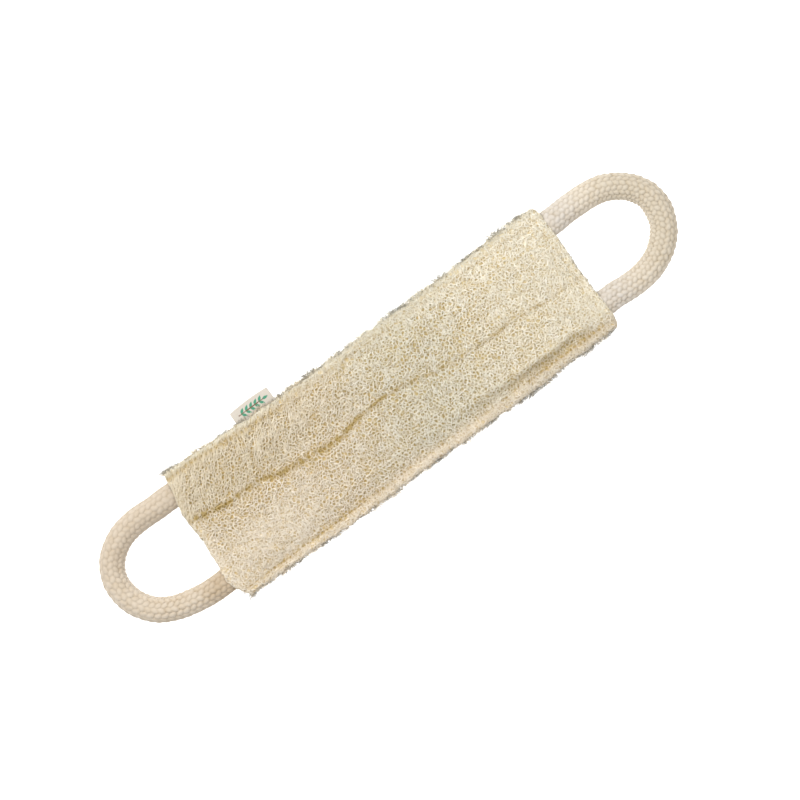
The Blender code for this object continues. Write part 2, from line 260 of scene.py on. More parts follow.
class Shader:
    """A material being built from nodes."""

    def __init__(self, name, roughness):
        self.material = bpy.data.materials.new(name)
        self.material.use_nodes = True
        self.tree = self.material.node_tree
        self.surface = self.tree.nodes["Principled BSDF"]
        self.surface.inputs["Roughness"].default_value = roughness
        self.surface.inputs["Specular IOR Level"].default_value = 0.25

    def node(self, kind, **inputs):
        made = self.tree.nodes.new(kind)
        for label, value in inputs.items():
            self.set(made.inputs[label.replace("_", " ")], value)
        return made

    def set(self, socket, value):
        if isinstance(value, bpy.types.NodeSocket):
            self.tree.links.new(value, socket)
        else:
            socket.default_value = value

    def attribute(self, label):
        made = self.node("ShaderNodeAttribute")
        made.attribute_name = label
        return made.outputs["Fac"]

    def place(self):
        """The place at rest, in millimetres, so that a pattern stays on its fibres when they bend."""
        where = self.node("ShaderNodeAttribute")
        where.attribute_name = "rest"
        scaled = self.node("ShaderNodeVectorMath")
        scaled.operation = "SCALE"
        self.set(scaled.inputs[0], where.outputs["Vector"])
        scaled.inputs["Scale"].default_value = 1 / MM
        return scaled.outputs["Vector"]

    def rising(self, value, low, high):
        """0 up to low, 1 from high, and smooth between them."""
        made = self.node("ShaderNodeMapRange", Value=value)
        made.interpolation_type = "SMOOTHSTEP"
        self.set(made.inputs["From Min"], low)
        self.set(made.inputs["From Max"], high)
        return made.outputs["Result"]

    def noise(self, where, scale, detail=2.0):
        return self.node("ShaderNodeTexNoise", Vector=where, Scale=scale, Detail=detail).outputs["Fac"]

    def maths(self, operation, first, second=0.0, third=0.0):
        made = self.node("ShaderNodeMath")
        made.operation = operation
        for socket, value in zip(made.inputs, (first, second, third)):
            self.set(socket, value)
        return made.outputs[0]

    def ramp(self, factor, stops):
        made = self.node("ShaderNodeValToRGB", Fac=factor)
        elements = made.color_ramp.elements
        while len(elements) < len(stops):
            elements.new(0.5)
        for element, (position, colour) in zip(elements, stops):
            element.position = position
            element.color = colour
        return made.outputs["Color"]

    def mix(self, factor, first, second, blend="MIX"):
        made = self.node("ShaderNodeMix")
        made.data_type = "RGBA"
        made.blend_type = blend
        self.set(made.inputs["Factor"], factor)
        self.set(made.inputs[6], first)
        self.set(made.inputs[7], second)
        return made.outputs[2]

    def colour(self, value):
        self.set(self.surface.inputs["Base Color"], value)

    def bump(self, height, distance, strength=1.0):
        made = self.node("ShaderNodeBump", Height=height)
        made.inputs["Distance"].default_value = distance
        made.inputs["Strength"].default_value = strength
        self.set(self.surface.inputs["Normal"], made.outputs["Normal"])


def region_tints_and_side_shade(shader, colour, where):
    """Large soft patches over a loofah colour. It is greyer towards the upper left, warmer along
    the lower rim and the lower left, and lightest at the right. It also paints shade down the
    mats' side walls and along their upper edge."""
    split = shader.node("ShaderNodeSeparateXYZ", Vector=where)
    drift = shader.maths("MULTIPLY_ADD", shader.noise(where, 0.02, 3.0), 50.0, -25.0)
    x = shader.maths("ADD", split.outputs["X"], drift)
    y = shader.maths("ADD", split.outputs["Y"], shader.maths("MULTIPLY", drift, 0.25))
    tint = shader.mix(shader.rising(x, 30.0, 110.0), MIDDLE_TINT, RIGHT_TINT)
    tint = shader.mix(shader.rising(x, 38.0, -90.0), tint, LOWER_LEFT_TINT)
    upper_left = shader.maths("MULTIPLY", shader.rising(x, 30.0, -110.0), shader.rising(y, 0.0, 26.0))
    tint = shader.mix(upper_left, tint, UPPER_LEFT_TINT)
    rim = shader.mix(shader.rising(x, 40.0, 100.0), RIM_TINT, RIGHT_RIM_TINT)
    tint = shader.mix(shader.rising(y, -38.0, -52.0), tint, rim)
    # Painted shade down the mats' side walls and along their upper edge.
    tint = shader.mix(shader.attribute("side"), tint, PAINTED_SIDE_SHADE)
    return shader.mix(1.0, colour, tint, "MULTIPLY")


def fibre_material(name, stops):
    """Loofah fibre: each strand has its own tone, with painted shade the lower it lies and where it dives.
    """
    shader = Shader(name, 0.62)
    where = shader.place()
    mottle = shader.noise(where, 0.9, 3.0)
    tone = shader.maths("MULTIPLY_ADD", mottle, 0.30, -0.15)
    tone = shader.maths("ADD", tone, shader.attribute("tone"))
    colour = region_tints_and_side_shade(shader, shader.ramp(tone, stops), where)
    colour = shader.mix(shader.maths("MULTIPLY", shader.attribute("ochre_and_shade"), 0.9), colour, OCHRE_AND_SHADE)
    shader.colour(shader.mix(shader.attribute("grey"), colour, FRINGE_GREY))
    grain = shader.noise(where, 3.5, 2.0)
    shader.bump(grain, 0.12 * MM, 0.6)
    shader.surface.inputs["Sheen Weight"].default_value = 0.15
    shader.surface.inputs["Sheen Roughness"].default_value = 0.5
    return shader.material


def base_material():
    """What shows through the fibres: packed loofah, coloured darker than the fibres as partly painted
    shade in the pores.
    """
    shader = Shader("loofah_base", 0.9)
    where = shader.place()
    cells = shader.node("ShaderNodeTexVoronoi", Vector=where, Scale=0.42).outputs["Distance"]
    lumps = shader.noise(where, 0.5, 4.0)
    tone = shader.maths("MULTIPLY_ADD", cells, 0.5, shader.maths("MULTIPLY", lumps, 0.6))
    # The darker stops stand partly for painted shade in the pores.
    stops = [(0.25, linear(172, 149, 97)), (0.55, linear(200, 179, 129)), (0.85, linear(228, 213, 175))]
    pale = shader.maths("MULTIPLY", shader.attribute("smooth"), 0.65)
    packed = shader.mix(pale, shader.ramp(tone, stops), PACKED_PALE)
    colour = region_tints_and_side_shade(shader, packed, where)
    shader.colour(shader.mix(shader.attribute("ochre_and_shade"), colour, DEEP_OCHRE_AND_SHADE))
    shader.bump(cells, 0.8 * MM)
    return shader.material


def rope_material():
    """Undyed cotton: fine strands along each stitch, with painted shade in the valleys between stitches."""
    shader = Shader("cotton_rope", 0.85)
    where = shader.place()
    height = shader.attribute("height")
    mottle = shader.noise(where, 0.22, 5.0)
    # Painted shade: the height attribute darkens the valleys between stitches.
    tone = shader.maths("MULTIPLY_ADD", mottle, 0.6, shader.maths("MULTIPLY_ADD", height, 0.60, -0.02))
    tone = shader.maths("ADD", tone, shader.maths("MULTIPLY", shader.attribute("shade"), 0.12))
    stops = [
        (0.12, linear(128, 106, 74)),
        (0.36, linear(182, 166, 139)),
        (0.62, linear(204, 191, 170)),
        (1.0, linear(213, 203, 187)),
    ]
    split = shader.node("ShaderNodeSeparateXYZ", Vector=where)
    x, y = split.outputs["X"], split.outputs["Y"]
    near_pad = shader.mix(shader.rising(x, 212.0, 184.0), linear(252, 251, 250), linear(246, 248, 255))
    right = shader.mix(shader.rising(x, 205.0, 240.0), near_pad, linear(240, 238, 233))
    left = shader.mix(shader.rising(y, 0.0, 30.0), linear(240, 235, 230), linear(232, 226, 220))
    # Darker near the pad on the left rope's lower leg.
    leg_blend = shader.maths("MULTIPLY", shader.rising(x, -208.0, -184.0), shader.rising(y, -18.0, -30.0))
    left = shader.mix(leg_blend, left, linear(224, 213, 199))
    tint = shader.mix(shader.rising(x, 60.0, -60.0), right, left)
    shader.colour(shader.mix(1.0, shader.ramp(tone, stops), tint, "MULTIPLY"))
    strands = shader.maths("SINE", shader.maths("MULTIPLY", shader.attribute("strand"), 2 * math.pi))
    fluff = shader.noise(where, 4.0, 3.0)
    shader.bump(shader.maths("MULTIPLY_ADD", fluff, 1.4, strands), 0.09 * MM, 0.7)
    shader.surface.inputs["Sheen Weight"].default_value = 0.3
    shader.surface.inputs["Sheen Roughness"].default_value = 0.5
    return shader.material


def thread_material():
    shader = Shader("seam_thread", 0.7)
    where = shader.place()
    twist = shader.noise(where, 6.0, 2.0)
    stops = [(0.3, linear(166, 134, 76)), (0.7, linear(214, 188, 130))]
    shader.colour(shader.ramp(twist, stops))
    shader.bump(twist, 0.1 * MM)
    return shader.material


def label_material():
    """Woven cotton tape with the print that the mesh's ink attributes place on it."""
    shader = Shader("label_cloth", 0.8)
    where = shader.place()
    across = shader.node("ShaderNodeTexWave", Vector=where, Scale=0.55)
    along = shader.node("ShaderNodeTexWave", Vector=where, Scale=0.55)
    along.bands_direction = "Y"
    weave = shader.maths("MULTIPLY", across.outputs["Fac"], along.outputs["Fac"])
    cloth = shader.ramp(weave, [(0.0, linear(184, 175, 162)), (0.5, linear(207, 200, 190))])
    green = shader.mix(shader.attribute("green_ink"), cloth, linear(74, 140, 112))
    brown = shader.mix(shader.attribute("brown_ink"), green, linear(112, 84, 66))
    shader.colour(brown)
    shader.bump(weave, 0.12 * MM, 0.8)
    return shader.material


TOP_STOPS = [
    (0.0, linear(226, 213, 186)),
    (0.3, linear(238, 229, 209)),
    (0.65, linear(246, 240, 226)),
    (1.0, linear(251, 247, 239)),
]
# The deep net is coloured darker than the top net: painted shade for the lower layer.
DEEP_SHADED_STOPS = [
    (0.0, linear(204, 185, 142)),
    (0.4, linear(228, 213, 180)),
    (1.0, linear(244, 235, 213)),
]


# ---------------------------------------------------------------- the mats' shape


def corner_trim(x):
    """How far the long edges draw in near the pad's ends, which rounds its corners."""
    into = np.clip((CORNER_ROUND - (HALF_LENGTH + 1 * MM - np.abs(x))) / CORNER_ROUND, 0, 1)
    return CORNER_ROUND * (1 - np.sqrt(1 - into**2))


def waver(along, seed):
    """The unevenness of a cut edge."""
    slow = 0.45 * MM * noise_along(along, 24, seed)
    tufts = 0.75 * noise_along(along, 5.5, seed + 1)
    return slow + MM * (tufts + 0.5 * noise_along(along, 2.3, seed + 2))


def upper_edge(x, face):
    table = UPPER_EDGE_FRONT if face == "front" else UPPER_EDGE_BACK
    return table_at(x, table) + waver(x, 3 if face == "front" else 5) - corner_trim(x)


def lower_edge(x, face):
    inset = 0 if face == "front" else 0.5 * MM
    return table_at(x, LOWER_EDGE) + inset + waver(x, 7 if face == "front" else 9) + corner_trim(x)


def end_line(x, y):
    """How far from the middle the mats reach at a place across, on the side that x is on."""
    reach = np.where(np.asarray(x) < 0, table_at(y, ENDS["left"]), table_at(y, ENDS["right"]))
    return reach + 0.8 * waver(y, 15)


def clamp_to_mat(x, y, face):
    """The nearest place on the mat, and how far outside it the given place is."""
    reach = end_line(x, y)
    on_x = np.clip(x, -reach, reach)
    on_y = np.clip(y, lower_edge(on_x, face), upper_edge(on_x, face))
    return on_x, on_y, np.hypot(x - on_x, y - on_y)


def upper_seam(x):
    """The upper seam's place across: it follows the mats' edge."""
    return table_at(x, UPPER_SEAM)


def trough_at(x):
    """How deep the front folds along its lower seam: from 0 to 1, towards the right end."""
    return ease_mm(x, 5, 120) * (1 - ease_mm(x, 147, 163))


def mat_height(x, y, face):
    """Height of the mat's outer face over the plane where the mats meet."""
    low, high = y - lower_edge(x, face), upper_edge(x, face) - y
    end = end_line(x, y) - np.abs(x)
    legs = bump_at(y, LEG_Y["upper"], 12 * MM) + bump_at(y, LEG_Y["lower"], 12 * MM)
    legs = legs * bump_mm(end, 6, 30)
    edge = np.clip(np.minimum(np.minimum(low, high), end) / EDGE_ROUND, 0, 1)
    rim_top = RIM_HEIGHT + LEG_RISE * legs
    rim_side = EDGE_HEIGHT + LEG_EDGE_RISE * legs
    rim = rim_side + (rim_top - rim_side) * np.sqrt(1 - (1 - edge) ** 2)
    seam_low, seam_high, seam_end = y + SEAM_Y, upper_seam(x) - y, SEAM_X - np.abs(x)
    trough = trough_at(x) if face == "front" else 0 * x
    puff = smoothstep((seam_low - 2.5 * MM * trough) / (PUFF_REACH - 7 * MM * trough))
    puff = puff * smoothstep(seam_high / PUFF_REACH) * smoothstep((seam_end + 2 * MM) / PUFF_REACH)
    full = (FRONT_TOP if face == "front" else MID_Z) - FIBRE_ROOM[face]
    dome = 1 - 0.07 * (y / FRONT_EDGE[1]) ** 2 if face == "front" else 1
    height = rim + (full * dome - rim) * puff
    groove = 0.5 * bump_at(seam_low, 0, GROOVE_HALF) + 0.3 * bump_at(seam_high, 0, GROOVE_HALF)
    groove = groove + 0.4 * bump_at(seam_end, 0, GROOVE_HALF) * ease_mm(x, -60, 60)
    height = height - GROOVE_DEPTH * np.minimum(groove, 1.2) * edge
    if face == "front":
        away = y - table_at(x, CREASE)
        deep = table_at(x, CREASE_DEPTH)
        # The upper side stands over the crease, and the lower side rises from it to a low ridge.
        step = (1 - ease_mm(away, -1.6, 2.2)) * ease_mm(away, -9, -1)
        swell = 0.45 * bump_mm(away, -11, 5) + 0.35 * bump_mm(away, 5.5, 4)
        height = height + deep * (swell - 1.15 * step)
        under = y - table_at(x, FOLD)
        brow, floor = bump_mm(under, 2.8, 3.2), bump_mm(under, -3.4, 3.4)
        height = height + trough * (0.9 * MM * brow - 1.7 * MM * floor)
    seed = 11 if face == "front" else 12
    rough = 0.45 * MM * smooth_noise(x, y, 30 * MM, seed) + 0.30 * MM * smooth_noise(x, y, 9 * MM, seed + 2)
    height = height + rough * edge
    if face == "back":
        height = np.minimum(height, MID_Z - FIBRE_ROOM[face])
    return height


def ochre_and_shade_at(x, y, face):
    """How ochre the fibres are: along the crease, and at the needle holes of the seams. This is partly
    the loofah's own ochre and partly painted shade in these hollows and in the fold along the lower seam.
    """
    wander = 0.5 * MM * noise_along(x, 12, 41)
    drifting = x + 0.6 * MM * noise_along(x, 9, 43)
    holes = np.abs((drifting / STITCH_LENGTH) % 1 - 0.5) * STITCH_LENGTH
    near_hole = 0.12 + 0.88 * np.exp(-((holes / (1.1 * MM)) ** 2))
    left_run = ease_mm(x, -165, -140) * (1 - ease_mm(x, -45, -25))
    left_run = left_run * (0.8 + 0.4 * noise_along(x, 14, 45))
    right_run = ease_mm(x, 85, 115) * (1 - ease_mm(x, 162, 170))
    lower = (0.1 + 1.0 * left_run + 0.8 * right_run) * bump_mm(y + SEAM_Y - wander, 0, 1.4)
    upper_left = ease_mm(-x, 55, 85)
    upper = (0.25 + 0.4 * upper_left) * bump_mm(y - upper_seam(x) - wander, 0, 1.6)
    ochre_and_shade = near_hole * (lower + upper) + 0.15 * upper_left * bump_mm(y - upper_seam(x), 0, 2)
    if face == "front":
        away = y - table_at(x, CREASE) - wander
        strength = 0.5 + 0.5 * (1 - ease_mm(x, -10, 60))
        strength = strength * (1 - 0.5 * ease_mm(x, 130, 160))
        strength = strength * ease_mm(x, -178, -172) * (1 + 0.6 * ease_mm(-x, 120, 140))
        patchy = 0.75 + 0.9 * smooth_noise(x, y, 3.2 * MM, 44)
        wide = 1.3 * MM + 2.0 * MM * bump_mm(x, -72, 42) + 0.7 * MM * bump_mm(x, -165, 20)
        ochre_and_shade = ochre_and_shade + strength * patchy * np.exp(-((away / wide) ** 2))
        # Painted shade in the fold along the lower seam, towards the right end.
        ochre_and_shade = ochre_and_shade + 0.32 * trough_at(x) * bump_mm(y - table_at(x, FOLD), -3.5, 3.5)
    return np.clip(ochre_and_shade, 0, 1)


LEG_Y = {
    "upper": (LOOPS["left"][0][1] + LOOPS["right"][0][1]) / 2,
    "lower": (LOOPS["left"][-1][1] + LOOPS["right"][-1][1]) / 2,
}


def on_mat(x, y, face, lift):
    """Points over the mat's face at a lift above it, and the direction of the lift. Places beyond
    the mat's outline go down its side, and then in under it."""
    on_x, on_y, over = clamp_to_mat(x, y, face)
    height = mat_height(on_x, on_y, face)
    outward = np.stack([x - on_x, y - on_y], -1) / np.maximum(over, 1e-9)[..., None]
    under = np.clip(over - height, 0, None)
    level = smoothstep(over / (2 * MM))
    turned = ease_between(under, 0, 1.5 * MM)
    up = FACES[face]
    tilt = up * (1 - level) * (1 - turned) - up * turned
    aside = level * (1 - turned)
    normal = np.stack([outward[..., 0] * aside, outward[..., 1] * aside, tilt + 1e-3], -1)
    normal /= np.linalg.norm(normal, axis=-1, keepdims=True)
    flat = np.stack([
        on_x - outward[..., 0] * under,
        on_y - outward[..., 1] * under,
        MID_Z + up * np.maximum(height - over, 0.2 * MM),
    ], -1)
    lift = lift + BASE_SINK * turned
    return flat + normal * lift[..., None], normal


def bend_over(piece):
    """Bakes a piece's place into its mesh."""
    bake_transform(piece)


def pad_bend(piece):
    """Bakes a piece of one half of the pad into its mesh, as bend_over does."""
    bend_over(piece)


def make_base(face, half, material):
    """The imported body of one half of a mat: a fine outer face over a flat inner one."""
    side = SIDES[half]
    columns = int(HALF_LENGTH / BASE_STEP)
    rows = int((FRONT_EDGE[1] - FRONT_EDGE[0]) / BASE_STEP)
    s = np.repeat(np.linspace(0, 1, columns + 1), rows + 1)
    t = np.tile(np.linspace(0, 1, rows + 1), columns + 1)
    x = side * HALF_LENGTH * s
    y = lower_edge(x, face) * (1 - t) + upper_edge(x, face) * t
    x = side * (end_line(x, y) - BASE_INSET) * s
    y = (lower_edge(x, face) + BASE_INSET) * (1 - t) + (upper_edge(x, face) - BASE_INSET) * t
    up = FACES[face]
    smooth = smoothness_at(x, y, face)
    height = np.maximum(mat_height(x, y, face) - BASE_SINK * (1 - 0.45 * smooth), 1 * MM)
    height = height + 0.35 * MM * smooth_noise(x, y, 2.4 * MM, 21) * (height > 3 * MM)
    outer = np.stack([x, y, MID_Z + up * height], -1)
    inner = np.stack([x, y, np.full_like(x, MID_Z + up * 0.15 * MM)], -1)
    count = (columns + 1) * (rows + 1)
    grid = np.arange(count).reshape(columns + 1, rows + 1)
    face_in = np.stack([grid[:-1, :-1], grid[1:, :-1], grid[1:, 1:], grid[:-1, 1:]], -1).reshape(-1, 4)
    ring = np.concatenate([grid[0, :-1], grid[:-1, -1], grid[-1, :0:-1], grid[:0:-1, 0]])
    after = np.roll(ring, -1)
    wall = np.stack([ring, after, after + count, ring + count], -1)
    quads = np.concatenate([face_in, (face_in + count)[:, ::-1], wall])
    if side * up < 0:
        quads = quads[:, ::-1]
    ochre_and_shade = np.tile(ochre_and_shade_at(x, y, face), 2)
    points = np.concatenate([outer, inner])
    attributes = [("ochre_and_shade", ochre_and_shade), ("side", np.zeros(len(points))), ("smooth", np.tile(smooth, 2))]
    piece = make_mesh(f"loofah_{face}_base_{half}", points, [quads], attributes)
    tidy_normals(piece)
    piece.data.materials.append(material)
    pad_bend(piece)
    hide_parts(f"loofah_{face}_{half}", f"loofah_{face}_centre")


def tidy_normals(piece):
    bm = bmesh.new()
    bm.from_mesh(piece.data)
    bmesh.ops.recalc_face_normals(bm, faces=bm.faces)
    bm.to_mesh(piece.data)
    bm.free()


# ---------------------------------------------------------------- the fibre net


CELL_SIZE = 2.9 * MM
STRAND_KNOTS = 5
STRAND_SIDES = 3
NET_TONE = (0.5, 0.2)
# Each net's strands: their lift over the mat's face, their radius, and samples along each.
NETS = {
    "deep_fibres": ((-0.9 * MM, -0.4 * MM), (0.34 * MM, 0.52 * MM), 7),
    "fibres": ((-0.3 * MM, 0.25 * MM), (0.28 * MM, 0.45 * MM), 8),
}
# Each felt's number of fibres tried, and the middle and spread of their tones.
FELTS = {"felt": (13000, (0.6, 0.16)), "fine_felt": (16000, (0.5, 0.1))}
FELT_LIFT = (-0.2 * MM, 0.4 * MM)
FELT_RADIUS = (0.2 * MM, 0.32 * MM)
SHORT_SAMPLES = 6
# How far a strand strays from its knots, how it waves up and down, and how its ends dive.
STRAY = 0.30 * MM
WAVE_HEIGHT = 0.28 * MM
DIVE_DEPTH = 1.1 * MM
DIVE_SHARE = 0.09


def net_of_cells(face, rng):
    """The cell walls of an irregular net over a mat and down its sides: the places of its knots,
    and each knot's neighbours."""
    flap = FLAP_REACH if face == "back" else 0
    low, high = FRONT_EDGE[0] - WALL_DEPTH, BACK_EDGE[1] + WALL_DEPTH + flap
    reach = HALF_LENGTH + WALL_DEPTH
    row_step = CELL_SIZE * 0.87
    rows = int((high - low) / row_step) + 1
    columns = int(2 * reach / CELL_SIZE) + 1
    row, column = np.meshgrid(np.arange(rows), np.arange(columns), indexing="ij")
    x = -reach + (column + 0.5 * (row % 2)) * CELL_SIZE
    y = low + row * row_step
    seeds = np.stack([x, y], -1).reshape(-1, 2) + rng.uniform(-0.42, 0.42, (rows * columns, 2)) * CELL_SIZE
    found = geometry.delaunay_2d_cdt([Vector(seed / MM) for seed in seeds], [], [], 0, 1e-5)
    corners = np.array([place[:] for place in found[0]]) * MM
    cells = np.array([triangle for triangle in found[2] if len(triangle) == 3])
    knots = corners[cells].mean(1)
    beside = {}
    for index, (a, b, c) in enumerate(cells):
        for edge in ((a, b), (b, c), (c, a)):
            beside.setdefault((min(edge), max(edge)), []).append(index)
    neighbours = [[] for _ in cells]
    for pair in beside.values():
        if len(pair) == 2 and np.linalg.norm(knots[pair[0]] - knots[pair[1]]) < 2 * CELL_SIZE:
            neighbours[pair[0]].append(pair[1])
            neighbours[pair[1]].append(pair[0])
    return knots, neighbours


def straightest(knots, neighbours, used, before, here, rng):
    """The neighbour that carries a strand on most smoothly, and is least used so far."""
    best, choice = -9.0, None
    along = knots[here] - knots[before]
    along = along / (np.hypot(*along) + 1e-9)
    for knot in neighbours[here]:
        if knot == before:
            continue
        step = knots[knot] - knots[here]
        turn = float(step @ along) / (math.hypot(*step) + 1e-9)
        score = turn + 0.8 * rng.random() - 0.35 * used.get((min(here, knot), max(here, knot)), 0)
        if score > best:
            best, choice = score, knot
    return choice


def strands_through(knots, neighbours, rng):
    """Strands of a few knots each, laid until nearly every cell wall has one along it."""
    walls = [(a, b) for a, around in enumerate(neighbours) for b in around if a < b]
    used, strands = {}, []
    for wall in rng.permutation(len(walls)):
        if used.get(walls[wall], 0):
            continue
        line = list(walls[wall])
        for _ in range(3):
            ahead = straightest(knots, neighbours, used, line[-2], line[-1], rng)
            behind = straightest(knots, neighbours, used, line[1], line[0], rng)
            if len(line) < STRAND_KNOTS and ahead is not None:
                line.append(ahead)
            if len(line) < STRAND_KNOTS and behind is not None:
                line.insert(0, behind)
        if len(line) < STRAND_KNOTS:
            continue
        for pair in zip(line, line[1:]):
            key = (min(pair), max(pair))
            used[key] = used.get(key, 0) + 1
        strands.append(line)
    return knots[np.array(strands)]


def curve_weights(knot_count, samples):
    """Weights that read a Catmull-Rom curve through knots at evenly spaced samples."""
    weights = np.zeros((samples, knot_count + 2))
    for row, place in enumerate(np.linspace(0, knot_count - 1, samples)):
        span = min(int(place), knot_count - 2)
        t = place - span
        basis = [-t + 2 * t**2 - t**3, 2 - 5 * t**2 + 3 * t**3, t + 4 * t**2 - 3 * t**3, t**3 - t**2]
        weights[row, span : span + 4] += 0.5 * np.array(basis)
    inner = weights[:, 1:-1].copy()
    inner[:, 0] += 2 * weights[:, 0]
    inner[:, 1] -= weights[:, 0]
    inner[:, -1] += 2 * weights[:, -1]
    inner[:, -2] -= weights[:, -1]
    return inner


def tube_rings(line, normal, radius, sides):
    """Rings of points round many centre lines at once: arrays of line, sample, side and axis."""
    along = np.gradient(line, axis=1)
    along /= np.linalg.norm(along, axis=-1, keepdims=True) + 1e-12
    across = np.cross(along, normal)
    across /= np.linalg.norm(across, axis=-1, keepdims=True) + 1e-12
    over = np.cross(across, along)
    turn = 2 * np.pi * (np.arange(sides) + 0.5) / sides
    offset = across[:, :, None] * np.cos(turn)[:, None] + over[:, :, None] * np.sin(turn)[:, None]
    return line[:, :, None] + offset * radius[:, :, None, None]


def tubes(name, rings, attributes):
    """One mesh of many closed tubes. The attributes hold a value for each line and sample. Each
    tube has its own square of the texture map."""
    count, samples, sides = rings.shape[:3]
    index = np.arange(count * samples * sides).reshape(count, samples, sides)
    ahead = np.roll(index, -1, axis=2)
    walls = np.stack([index[:, :-1], ahead[:, :-1], ahead[:, 1:], index[:, 1:]], -1).reshape(-1, 4)
    caps = np.concatenate([index[:, 0, ::-1], index[:, -1]])
    spread = [(label, np.repeat(values[:, :, None], sides, axis=2)) for label, values in attributes]
    across = math.ceil(math.sqrt(count))
    corner = np.stack([np.arange(count) % across, np.arange(count) // across], -1) / across
    u, v = np.arange(sides) / sides, np.arange(samples - 1) / (samples - 1)
    du, dv = np.array([0, 1, 1, 0]) / sides, np.array([0, 0, 1, 1]) / (samples - 1)
    wall = np.stack(np.broadcast_arrays(u[None, :, None] + du, (v[:, None, None] + dv) * 0.84), -1)
    turn = 2 * np.pi * np.arange(sides) / sides
    disc = np.stack([0.5 + 0.06 * np.cos(turn), 0.92 + 0.06 * np.sin(turn)], -1)
    shrink = 0.9 / across
    wall_chart = corner[:, None, None, None] + (wall * shrink)[None]
    cap_chart = corner[:, None] + (disc * shrink)[None]
    charts = [wall_chart, np.concatenate([cap_chart[:, ::-1], cap_chart])]
    return make_mesh(name, rings.reshape(-1, 3), [walls, caps], spread, charts)


def lay_strands(plan, face, lift, radius, samples, tone, rng):
    """Rings and tones for strands given by their knots in plan. Their ends dive into the mat."""
    plan = plan + rng.normal(0, STRAY, plan.shape)
    line = np.einsum("sk,nkd->nsd", curve_weights(plan.shape[1], samples), plan)
    place = np.linspace(0, 1, samples)
    count = len(plan)
    rise = rng.uniform(*lift, (count, 1))
    wave = WAVE_HEIGHT * np.sin(rng.uniform(0, 6.3, (count, 1)) + place * rng.uniform(4, 9, (count, 1)))
    dive = np.exp(-place / DIVE_SHARE) + np.exp(-(1 - place) / DIVE_SHARE)
    points, normal = on_mat(line[..., 0], line[..., 1], face, rise + wave - DIVE_DEPTH * dive)
    thick = rng.uniform(*radius, (count, 1)) * (1 - 0.35 * dive)
    # Painted shade: a strand's tone is lower the lower it lies and where its ends dive into the mat; the
    # rest of its tone is random.
    tones = rng.normal(*tone, (count, 1)) + 0.25 * (rise + wave) / MM - 0.35 * dive
    rings = tube_rings(points, normal, thick, STRAND_SIDES)
    rings[..., 2] = np.maximum(rings[..., 2], LOWEST)
    on_x, on_y, over = clamp_to_mat(line[..., 0], line[..., 1], face)
    # The side attribute paints shade down the mat's side walls and in a band along its upper edge.
    upper_lip_shade = 0.9 * (1 - ease_mm(upper_edge(on_x, face) - on_y, 0.5, 5))
    side = np.maximum(smoothstep(over / (2.5 * MM)), upper_lip_shade)
    ochre_and_shade = ochre_and_shade_at(line[..., 0], line[..., 1], face)
    return rings, [("tone", tones), ("ochre_and_shade", ochre_and_shade), ("side", side), ("grey", 0 * side)]


def add_fibres(name, rings, attributes, material):
    """Fibre pieces, one for each half of the pad."""
    middle = rings.mean((1, 2))[:, 0]
    for half, side in SIDES.items():
        mine = middle * side > 0
        my_values = [(label, values[mine]) for label, values in attributes]
        piece = tubes(f"{name}_{half}", rings[mine], my_values)
        piece.data.materials.append(material)
        pad_bend(piece)


def make_net(face, layer, material, seed):
    lift, radius, samples = NETS[layer]
    rng = np.random.default_rng(seed)
    knots, neighbours = net_of_cells(face, rng)
    plan = strands_through(knots, neighbours, rng)
    rings, attributes = lay_strands(plan, face, lift, radius, samples, NET_TONE, rng)
    add_fibres(f"loofah_{face}_{layer}", rings, attributes, material)


def smoothness_at(x, y, face):
    """Where short fibres cover the net: at the rims, the lower left and the right end."""
    inward = np.minimum(y - lower_edge(x, face), upper_edge(x, face) - y)
    inward = np.minimum(inward, end_line(x, y) - np.abs(x))
    rim = 1 - ease_mm(inward, 5, 11)
    lower_left = ease_mm(-x, 60, 115) * (1 - ease_mm(y, -20, 0))
    right = 0.45 * ease_mm(x, 80, 140) + 0.4 * ease_mm(x, 146, 162)
    return np.maximum(np.maximum(rim, 0.75 * lower_left), right)


